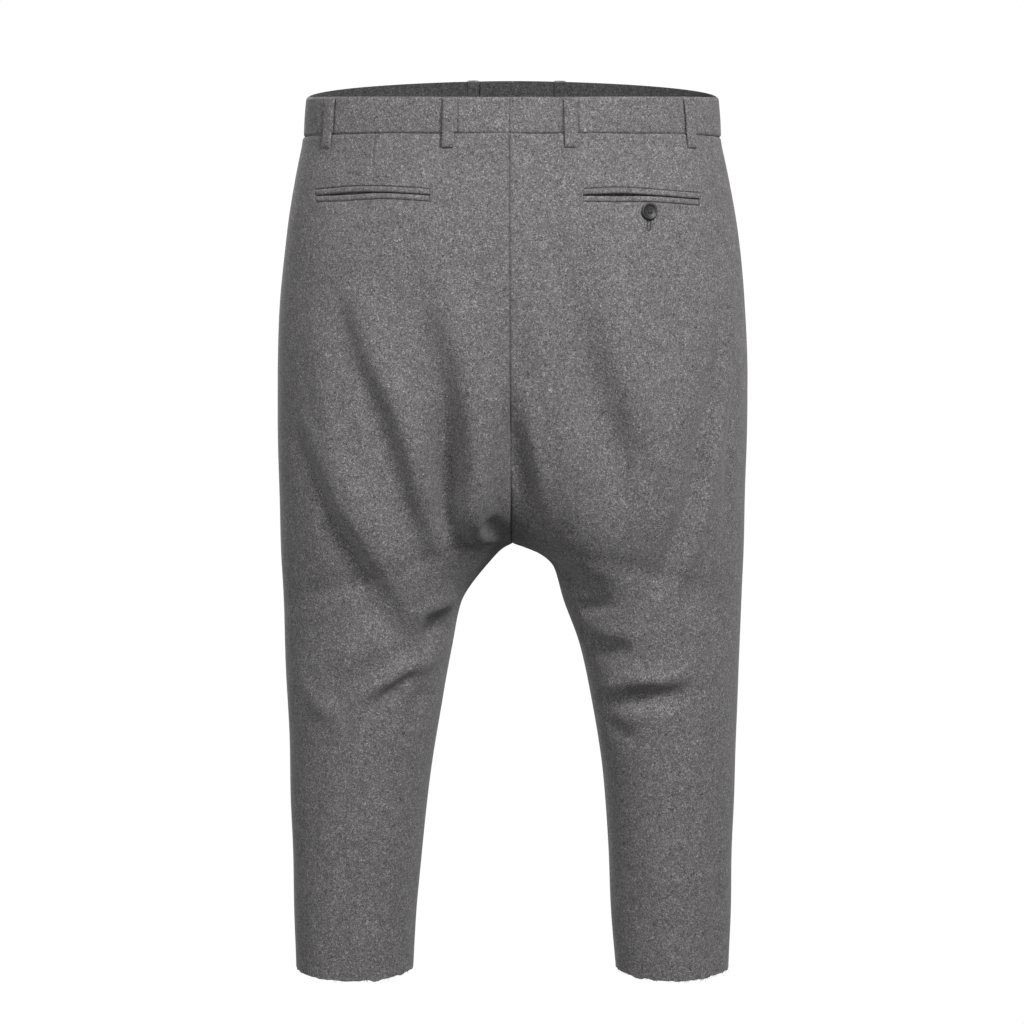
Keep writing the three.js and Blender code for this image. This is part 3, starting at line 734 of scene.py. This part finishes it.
def flannel(name, tone):
    """Milled wool flannel: a melange of dark and light fibres under a soft nap."""
    material = plain(
        name, Roughness=0.92, Specular_IOR_Level=0.25,
        Sheen_Weight=0.12, Sheen_Roughness=0.6, Sheen_Tint=(0.8, 0.79, 0.79, 1),
    )
    tree = material.node_tree
    shader = tree.nodes["Principled BSDF"]
    place = node(tree, "ShaderNodeTexCoord")

    def noise(scale, detail, roughness, distortion):
        measures = dict(Scale=scale, Detail=detail, Roughness=roughness, Distortion=distortion)
        made = node(tree, "ShaderNodeTexNoise", **measures)
        tree.links.new(place.outputs["Object"], made.inputs["Vector"])
        return made.outputs["Fac"]

    def multiply(a, b):
        made = node(tree, "ShaderNodeMix", data_type="RGBA", blend_type="MULTIPLY", Factor=1)
        tree.links.new(a, colour_socket(made.inputs, "A"))
        if isinstance(b, tuple):
            colour_socket(made.inputs, "B").default_value = b
        else:
            tree.links.new(b, colour_socket(made.inputs, "B"))
        return colour_socket(made.outputs, "Result")

    curls = [(0.45, 0.94), (0.485, 1.8), (0.515, 1.8), (0.55, 0.94)]
    gaps = [(0.45, 1.05), (0.485, 0.4), (0.515, 0.4), (0.55, 1.05)]
    coarse_curls = ramp(tree, noise(215, 1, 0.5, 1.9), curls)
    fine_curls = ramp(tree, noise(268, 1, 0.5, 1.9), curls)
    light_fibres = multiply(coarse_curls, fine_curls)
    dark_fibres = ramp(tree, noise(240, 1, 0.5, 2.1), gaps)
    grain = ramp(tree, noise(900, 2, 0.6, 0.0), [(0.3, 0.8), (0.7, 1.2)])
    mottling = ramp(tree, noise(60, 3, 0.6, 0.5), [(0.3, 0.95), (0.7, 1.05)])
    fibres = multiply(light_fibres, dark_fibres)
    colour = multiply(multiply(multiply(fibres, grain), mottling), tone)
    tree.links.new(colour, shader.inputs["Base Color"])
    bump = node(tree, "ShaderNodeBump", Strength=0.35, Distance=0.0006)
    tree.links.new(noise(330, 3, 0.65, 1.8), bump.inputs["Height"])
    tree.links.new(bump.outputs["Normal"], shader.inputs["Normal"])
    return material


cloth = flannel("flannel", FLANNEL_TONE)
# The facing's dark tone is partly a darker facing cloth and partly painted shade for the shade inside the
# waistband.
facing = flannel("facing", FACING_AND_SHADE_TONE)
thread = plain("thread", Base_Color=THREAD_TONE, Roughness=0.8)
resin = plain("resin", Base_Color=BUTTON_TONE, Roughness=0.42)


# Camera

def aimed(name, data, place, target):
    """An object at a place in metres, turned to look at a target."""
    made = bpy.data.objects.new(name, data)
    made.location = place
    made.rotation_euler = (Vector(target) - Vector(place)).to_track_quat("-Z", "Y").to_euler()
    bpy.context.scene.collection.objects.link(made)
    return made


def place_camera():
    data = bpy.data.cameras.new("camera")
    data.sensor_width = SENSOR_WIDTH
    data.lens = CAMERA_DISTANCE / VIEW_WIDTH * SENSOR_WIDTH
    data.clip_end = 100
    target = Vector(CAMERA_TARGET) * MM
    back = Vector((0, math.cos(CAMERA_ELEVATION), math.sin(CAMERA_ELEVATION)))
    bpy.context.scene.camera = aimed("camera", data, target + back * CAMERA_DISTANCE * MM, target)


place_camera()


# Panels

def with_clusters(base, places, offsets):
    """A list of grid lines: even ones, and finer ones round the given places."""
    extra = [place + offset for place in places for offset in offsets]
    return np.unique(np.clip(np.concatenate([base, extra]), base[0], base[-1]).round(6))


def across_at(x, half):
    """How far across a section a distance from the middle lies, where the section is half wide."""
    return math.acos(min(1, x / half)) * 2 / math.pi


def panel_grid(side, face):
    """Where a panel's grid lines run: finer at seams, and at the darts and pockets."""
    columns = np.linspace(0, 1, PANEL_COLUMNS + 1)
    rows = np.linspace(0, HEM_ROW, PANEL_ROWS + 1)
    columns = with_clusters(columns, [0], SEAM_LINES)
    columns = with_clusters(columns, [1], -SEAM_LINES)
    rows = with_clusters(rows, [0], WAIST_LINES)
    rows = with_clusters(rows, [HEM_ROW], -HEM_LINES)
    if face > 0:
        darts = [across_at(x, BAND_LOW["half"]) for dart_side, x, _ in DARTS if dart_side == side]
        columns = with_clusters(columns, darts, DART_LINES)
        ends = [pocket[end][0] for pocket in POCKETS if pocket["side"] == side for end in ("inner", "outer")]
        columns = with_clusters(columns, [across_at(x, POCKET_HALF_WAIST) for x in ends], POCKET_END_LINES)
        rows = with_clusters(rows, [POCKET_TOP_ROW], POCKET_LINES)
    return np.meshgrid(columns, rows)


def make_panel(name, side, face):
    """One trouser panel, its raw hem cut a little unevenly."""
    across, position = panel_grid(side, face)
    outer, inner = panel_layers(side, face, across, position)
    rng = np.random.default_rng(HEM_SEEDS[name])
    waves = rng.normal(0, HEM_WAVE, HEM_WAVES)
    wobble = np.interp(across[-1], np.linspace(0, 1, HEM_WAVES), waves)
    outer[-1, :, 2] += wobble
    inner[-1, :, 2] += wobble
    return wall_object(name + "_cloth", outer, inner, cloth)


folds_on = lift_folds()
for panel_name, panel_side, panel_face in [
    ("back_left", 1, 1),
    ("back_right", -1, 1),
    ("front_left", 1, -1),
    ("front_right", -1, -1),
]:
    piece = make_panel(panel_name, panel_side, panel_face)
    declare(piece, panel_name)


# Waistband

def band_point(side, face, across, up, out):
    """Points of the waistband, up from the waist seam (0) to the top edge (1), moved out."""
    def at(a, h):
        low = section_point(BAND_LOW, side, face, a)
        high = section_point(BAND_TOP, side, face, a)
        return mix(low, high, np.asarray(h)[..., None])

    a0, a1 = np.maximum(across - PROBE, 0), np.minimum(across + PROBE, 1)
    h0, h1 = np.clip(up - PROBE, 0, 1 - PROBE), np.clip(up + PROBE, PROBE, 1)
    normal = np.cross(at(a1, up) - at(a0, up), at(across, h1) - at(across, h0)) * side * face
    normal[..., 2] = 0
    return at(across, up) + unit(normal) * np.asarray(out)[..., None]


def band_share(face, x):
    """How far round half the waistband a place lies, from the centre back (0) to the centre front (1)."""
    return (1 - face * across_at(x, BAND_LOW["half"])) / 2


def band_points(halves, across, up, out):
    """A grid of points of the waistband, each part of it on its own side and face."""
    made = np.zeros(across.shape + (3,))
    for side, face, chosen in halves:
        made[chosen] = band_point(side, face, across, up, out)[chosen]
    return made


def make_band(name, side):
    """Half of the waistband, from the centre back round the side to the centre front."""
    up = np.concatenate([BAND_EDGE_LINES, np.linspace(0.16, 0.84, 12), 1 - BAND_EDGE_LINES[::-1]])
    columns = with_clusters(np.linspace(0, 1, BAND_COLUMNS + 1), [0], BAND_END_LINES)
    columns = with_clusters(columns, [1], -BAND_END_LINES)
    loops_here = [band_share(face, x) for _, loop_side, face, x, _ in LOOPS if loop_side == side]
    pinch_lines = (LOOP_WIDTH / 2 + np.linspace(-1.2, 2.8, 9)) / BAND_LENGTH
    columns = with_clusters(columns, loops_here, np.concatenate([-pinch_lines, pinch_lines]))
    along, height = np.meshgrid(columns, up)
    from_edge = np.minimum(height, 1 - height) * BAND_HEIGHT
    from_end = np.minimum(along, 1 - along) * BAND_LENGTH
    tuck = EDGE_TUCK * bell(from_edge, TUCK_WIDTH) + END_TUCK * bell(from_end, TUCK_WIDTH)
    for place in loops_here:
        beside = np.abs(along - place) * BAND_LENGTH - LOOP_WIDTH / 2
        tuck += PINCH_DEPTH * bell(beside - PINCH_AT, PINCH_WIDTH)
    puff = (0.25 + 0.2 * np.sin(along * 41)) * np.sin(math.pi * height)

    def layer(out, tuck_share):
        faces = ((side, 1, along <= 0.5), (side, -1, along > 0.5))
        made = band_points(faces, np.abs(2 * along - 1), height, out - tuck * tuck_share)
        made[..., 0] += np.where(from_end == 0, side * SEAM_HAIR, 0)
        made[..., 2] += np.where(height == 0, 2 * SEAM_HAIR, 0)
        return made

    outer = layer(BAND_PROUD + puff, 1)
    inner = layer(np.full(along.shape, BAND_PROUD - BAND_WALL), -0.1)
    # the band's inner side takes the facing tone: partly facing cloth, partly painted shade
    return wall_with_shaded_facing(name + "_cloth", outer, inner)


for band_name, band_side in [("waistband_left", 1), ("waistband_right", -1)]:
    piece = make_band(band_name, band_side)
    declare(piece, band_name)


def make_underlap():
    """The strip that carries the closing, inside both halves of the band at the centre front."""
    columns = np.linspace(-UNDERLAP_ROOT, UNDERLAP_REACH, 24)
    x, height = np.meshgrid(columns, np.linspace(*UNDERLAP_HEIGHTS, 12))
    across = np.arccos(np.abs(x) / BAND_LOW["half"]) * 2 / math.pi
    out = np.full(x.shape, BAND_PROUD - BAND_WALL - UNDERLAP_GAP)
    sides = ((-1, -1, x < 0), (1, -1, x >= 0))
    outer = band_points(sides, across, height, out)
    inner = band_points(sides, across, height, out - STRIP_WALL)
    # the underlap's inner side takes the facing tone: partly facing cloth, partly painted shade
    return wall_with_shaded_facing("waistband_underlap_cloth", outer, inner)


underlap = make_underlap()
declare(underlap, "waistband_underlap")


# Belt loops

def loop_path(over_top):
    """The middle line of a belt loop: height up from the waist seam and distance out."""
    top = BAND_HEIGHT - (LOOP_OVER_DROP if over_top else LOOP_TOP_DROP)
    rest = BAND_PROUD + SEAM_GAP
    within = BAND_PROUD - BAND_WALL - SEAM_GAP
    t = np.linspace(0, 1, LOOP_ROWS)
    up = mix(-LOOP_TAIL, top, t)
    out = rest + LOOP_BOW * np.sin(math.pi * t) ** LOOP_BOW_FULLNESS
    path = np.stack([up, out], -1)
    if over_top:
        turn = np.linspace(0, math.pi, LOOP_TURN_ROWS + 1)[1:]
        turn_height = BAND_HEIGHT - LOOP_TURN_DROP
        radius = (rest - within) / 2
        middle = (rest + within) / 2
        arc = np.stack([turn_height + radius * np.sin(turn), middle + radius * np.cos(turn)], -1)
        down = np.linspace(0, LOOP_INSIDE, LOOP_INSIDE_ROWS + 1)[1:]
        inside = np.stack([turn_height - down, np.full(LOOP_INSIDE_ROWS, within)], -1)
        path = np.concatenate([path, arc, inside])
    return path


def waist_turn(side, face, centre):
    """How far across the waist seam one millimetre is, at a place on it."""
    one = np.array([centre])
    here = band_point(side, face, one, np.zeros(1), np.zeros(1))
    there = band_point(side, face, one + PROBE, np.zeros(1), np.zeros(1))
    return PROBE / np.linalg.norm(there - here)


def loop_place(side, face, across, up, out):
    """Points of a belt loop, on the band above the waist seam and on the panel below it."""
    on_band = band_point(side, face, across, np.maximum(up, 0) / BAND_HEIGHT, out)
    start = smooth_point(side, face, across, np.zeros_like(across))
    row_height = np.linalg.norm(start - smooth_point(side, face, across, np.ones_like(across)), axis=-1)
    position = np.maximum(-up, 0) / row_height
    on_panel = smooth_point(side, face, across, position)
    on_panel = on_panel + panel_normal(side, face, across, position) * out[..., None]
    return np.where((up >= 0)[..., None], on_band, on_panel)


def make_loop(name, side, face, x, over_top):
    """A belt loop: a folded strip with soft edges and ends, which stands off the band in a low bow."""
    path = loop_path(over_top)
    direction = unit(np.gradient(path, axis=0))
    centre = across_at(x, BAND_LOW["half"])
    across = centre + LOOP_EDGES * LOOP_WIDTH / 2 * waist_turn(side, face, centre)
    wide, step = np.meshgrid(across, np.arange(len(path)))
    roll = mix(LOOP_EDGE_SHARE, 1, (1 - np.abs(LOOP_EDGES) ** 7) ** 0.5)
    soft_end = np.ones(len(path))
    soft_end[[0, -1]], soft_end[[1, -2]] = LOOP_END_SHARES

    def layer(thickness):
        grow = thickness * np.outer(soft_end, roll)
        up = path[step, 0] - direction[step, 1] * grow
        out = path[step, 1] + direction[step, 0] * grow
        return loop_place(side, face, wide, up, out)

    made = wall_object(name + "_cloth", layer(LOOP_OVER_WALL if over_top else LOOP_WALL), layer(0), cloth)
    if over_top:
        # the loop's part turned inside the band takes the facing's darker tone as painted shade
        row_faces = len(LOOP_EDGES) - 1
        turned_in = len(path) - LOOP_INSIDE_ROWS - 3
        line_with(made, facing, turned_in * row_faces, (len(path) - 1) * row_faces)
    return made


for loop_name, loop_side, loop_face, loop_x, loop_over in LOOPS:
    piece = make_loop(loop_name, loop_side, loop_face, loop_x, loop_over)
    declare(piece, loop_name)


# Pockets

def on_back(side, x, z, *outs):
    """Points on the folded surface of a back panel, moved out by each of outs, and its directions."""
    across, position = (found.reshape(x.shape) for found in find_on_panel(side, 1, x.ravel(), z.ravel()))
    smooth = smooth_point(side, 1, across, position)
    normal = panel_normal(side, 1, across, position)
    height = fold_height(smooth, normal) + undulation(smooth)
    return [smooth + normal * (height + out)[..., None] for out in outs] + [normal]


def make_welt(pocket, upper):
    """A welt set into its pocket's window: a soft roll of cloth beside the slit."""
    side = pocket["side"]
    along, share = np.meshgrid(np.linspace(0.004, 0.996, WELT_COLUMNS), np.linspace(0, 1, 13))
    half = slit_half(pocket, along)
    low = half if upper else -half - WELT_HEIGHT
    above = low + WELT_HEIGHT * share
    (x0, z0), (x1, z1) = pocket["inner"], pocket["outer"]
    x = mix(x0, x1, along) * side
    z = mix(z0, z1, along) + pocket["rise"] * np.sin(math.pi * along) + above
    end = np.minimum(along, 1 - along) * POCKET_LENGTH
    crown = (1 - np.abs(2 * share - 1) ** 3.2) * np.clip(end / 1.2, 0.25, 1)
    outer, inner, _ = on_back(side, x, z, WELT_BED + WELT_CROWN * crown, WELT_BACK)
    row = "upper" if upper else "lower"
    return wall_object(f"pocket_welt_{row}_{pocket['name']}_cloth", outer, inner, cloth)


welts = {1: [], -1: []}
for pocket in POCKETS:
    for upper in (True, False):
        piece = make_welt(pocket, upper)
        declare(piece, piece.name.replace("_cloth", ""))
        welts[pocket["side"]].append(piece)


# Button

def button_outline():
    """The button's outline from its back round the edge and rim to its face: radius and height."""
    foot, rim = BUTTON_RADIUS - 1.1, BUTTON_RADIUS - 0.9
    outline = [(foot, 0)]
    outline += [(foot + 1.1 * math.sin(a), 1.1 - 1.1 * math.cos(a)) for a in np.linspace(0.3, 1.5, 5)]
    outline += [(rim + 0.9 * math.cos(a), 2.1 + 0.9 * math.sin(a)) for a in np.linspace(0, 1.57, 7)]
    outline += [(BUTTON_RADIUS - inwards, height) for inwards, height in BUTTON_DISH]
    return outline


def drill_hole(button, x, z):
    bpy.ops.mesh.primitive_cylinder_add(
        vertices=24, radius=BUTTON_HOLE_RADIUS * MM, depth=12 * MM,
        location=(x * MM, 1.5 * MM, z * MM), rotation=(math.pi / 2, 0, 0),
    )
    drill = bpy.context.object
    cut = button.modifiers.new("hole", "BOOLEAN")
    cut.operation = "DIFFERENCE"
    cut.object = drill
    with bpy.context.temp_override(object=button, active_object=button, selected_objects=[button]):
        bpy.ops.object.modifier_apply(modifier=cut.name)
    bpy.data.objects.remove(drill)


def make_button():
    """A dished four-hole button, cut by its holes."""
    sides = BUTTON_SIDES
    turns = np.arange(sides) * 2 * math.pi / sides
    rings = button_outline()
    vertices = [(r * math.cos(a), y, r * math.sin(a)) for r, y in rings for a in turns]
    vertices += [(0, 0, 0), (0, BUTTON_MIDDLE, 0)]
    bottom, top = len(vertices) - 2, len(vertices) - 1
    faces = [[a, d, c, b] for a, b, c, d in tube_faces(len(rings), sides)]
    last = (len(rings) - 1) * sides
    faces += [(bottom, j, (j + 1) % sides) for j in range(sides)]
    faces += [(top, last + (j + 1) % sides, last + j) for j in range(sides)]
    button = mesh_object("pocket_button_resin", vertices, faces, resin)
    for x in (-BUTTON_HOLE_AT, BUTTON_HOLE_AT):
        for z in (-BUTTON_HOLE_AT, BUTTON_HOLE_AT):
            drill_hole(button, x, z)
    return button


def turned(vertices, origin, outward):
    """Points of the button, +Y outwards, turned to face along a direction and moved to a place."""
    out = outward / np.linalg.norm(outward)
    right = unit(np.cross([0, 0, 1.0], out))
    up = np.cross(out, right)
    cos, sin = math.cos(BUTTON_TURN), math.sin(BUTTON_TURN)
    axes = np.array([right * cos + up * sin, out, up * cos - right * sin])
    return origin + vertices @ axes


def move_mesh(obj, origin, outward):
    mesh = obj.data
    flat = np.empty(len(mesh.vertices) * 3)
    mesh.vertices.foreach_get("co", flat)
    mesh.vertices.foreach_set("co", (turned(flat.reshape(-1, 3) / MM, origin, outward) * MM).ravel())
    mesh.update()
    shade_smooth(mesh, 50)


button_at = np.array([BUTTON_X]), np.array([BUTTON_Z])
(button_place,), (button_out,) = on_back(-1, *button_at, BUTTON_STAND_OFF)
button = make_button()
move_mesh(button, button_place, button_out)
declare(button, "pocket_button")


# Sewing

def thread_piece(name, runs):
    """Threads as one joined mesh, each along its own points."""
    piece = mesh_object(name, *joined([strand(p, r, 6, 1) for p, r in runs]), thread)
    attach(piece, "root")


def button_thread():
    """The cross of thread through the button's holes."""
    runs = []
    t = np.linspace(-1, 1, 9)
    for sx, sz in ((1, 1), (1, -1)):
        for shift in (-0.28, 0.0, 0.28):
            x = t * BUTTON_HOLE_AT * sx + shift * sz
            z = t * BUTTON_HOLE_AT * sz - shift * sx
            y = 2.5 - 1.0 * np.abs(t) ** 5
            runs.append((turned(np.stack([x, y, z], -1), button_place, button_out), 0.2))
    shank = np.stack([np.zeros(4), np.linspace(-0.8, 0.4, 4), np.zeros(4)], -1)
    runs.append((turned(shank, button_place, button_out), 1.0))
    return runs


def buttonhole():
    """A worked buttonhole: a close row of stitches round a vertical slit below the button."""
    runs = []
    half = BUTTONHOLE_HALF
    high, turn_z = BUTTON_Z - BUTTONHOLE_TUCK, BUTTONHOLE_LOW + half
    first, last = BUTTONHOLE_TURN
    for t in np.linspace(0, 1, BUTTONHOLE_STITCHES):
        if t < first:
            angle, z = math.pi, mix(high, turn_z, t / first)
        elif t < last:
            angle = mix(math.pi, 2 * math.pi, (t - first) / (last - first))
            z = turn_z + half * math.sin(angle)
        else:
            angle, z = 0, mix(turn_z, high, (t - last) / (1 - last))
        xs = BUTTON_X + math.cos(angle) * (half + STITCH_REACH)
        zs = z + math.sin(angle) * STITCH_REACH
        points, _ = on_back(-1, xs, zs, STITCH_RISE)
        runs.append((points, 0.16))
    return runs


def bar_tacks():
    """The dashed tack across the top of each back and side belt loop."""
    runs = []
    t = np.linspace(-TACK_HALF, TACK_HALF, 5)
    up = np.full(5, (BAND_HEIGHT - TACK_DROP) / BAND_HEIGHT)
    out = BAND_PROUD + SEAM_GAP + LOOP_WALL + TACK_RISE - TACK_BOW * (t / TACK_HALF) ** 2
    for name, side, face, x, over_top in LOOPS:
        if over_top:
            continue
        centre = across_at(x, BAND_LOW["half"])
        for k in range(TACK_STITCHES):
            middle = (k - (TACK_STITCHES - 1) / 2) * TACK_STEP
            across = centre + (middle + t) * waist_turn(side, face, centre)
            runs.append((band_point(side, face, across, up, out), 0.24))
    return runs


thread_piece("button_thread", button_thread())
thread_piece("buttonhole_stitches", buttonhole())
thread_piece("belt_loop_tacks", bar_tacks())


# Frayed hems

def fray():
    """Loose threads along the raw hems."""
    rng = np.random.default_rng(FRAY_SEED)
    parts = []
    t = np.linspace(0, 1, 6)[:, None]
    for side in (1, -1):
        for _ in range(THREADS_PER_HEM):
            face = 1 if rng.random() < 0.5 else -1
            across = np.array([rng.random()])
            position = np.array([HEM_ROW - rng.random() * 0.03])
            root = smooth_point(side, face, across, position)[0]
            normal = panel_normal(side, face, across, position)[0]
            root = root - normal * rng.uniform(0.2, 1.4)
            length = rng.gamma(2.0, 0.75) + 0.5
            lean = rng.normal(0, 0.55)
            along = unit(np.cross(normal, [0, 0, 1.0]))
            heading = unit(np.array([0, 0, -1.0]) + along * lean + normal * rng.normal(0, 0.35))
            curl = along * rng.normal(0, 0.5) + normal * rng.normal(0, 0.3)
            points = root + heading * length * t + curl * length * t**2
            parts.append(strand(points, rng.uniform(0.1, 0.2), 3, 0.4))
    piece = mesh_object("hem_fray", *joined(parts), cloth)
    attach(piece, "root")


fray()


# Studio

def area_light(name, place, target, size, power):
    data = bpy.data.lights.new(name, "AREA")
    data.size = size
    data.energy = power
    aimed(name, data, place, target)


def world_light(tree):
    """A light band round the horizon, white behind the garment, and dimmer above and below."""
    place = node(tree, "ShaderNodeTexCoord")
    axes = node(tree, "ShaderNodeSeparateXYZ")
    tree.links.new(place.outputs["Generated"], axes.inputs["Vector"])

    def by_axis(axis, stops):
        share = node(tree, "ShaderNodeMapRange", **{"From Min": -1, "From Max": 1})
        tree.links.new(axes.outputs[axis], share.inputs["Value"])
        return ramp(tree, share.outputs["Result"], [((at + 1) / 2, value) for at, value in stops])

    lighter = node(tree, "ShaderNodeMix", data_type="RGBA", blend_type="LIGHTEN", Factor=1)
    tree.links.new(by_axis("Z", WORLD_BAND), colour_socket(lighter.inputs, "A"))
    tree.links.new(by_axis("Y", WORLD_WHITE), colour_socket(lighter.inputs, "B"))
    tree.links.new(colour_socket(lighter.outputs, "Result"), tree.nodes["Background"].inputs["Color"])


def make_floor():
    """A plain pale floor, evenly lit to white. Only the camera sees it, so it throws no light back."""
    black, white = (0, 0, 0, 1), (1, 1, 1, 1)
    light = dict(Emission_Color=white, Emission_Strength=FLOOR_WHITE)
    pale = plain("floor", Base_Color=black, Roughness=1, Specular_IOR_Level=0, **light)
    half = FLOOR_SIZE / 2
    corners = [(x * half, y * half, FLOOR_Z) for x, y in ((-1, -1), (1, -1), (1, 1), (-1, 1))]
    floor = mesh_object("floor", corners, [(0, 1, 2, 3)], pale)
    floor.visible_diffuse = False
    floor.visible_glossy = False
    floor.visible_shadow = False


def studio():
    world = bpy.data.worlds.new("world")
    world.use_nodes = True
    world_light(world.node_tree)
    bpy.context.scene.world = world
    make_floor()
    for light in LIGHTS:
        area_light(*light)
    bpy.context.scene.view_settings.view_transform = "Standard"


studio()
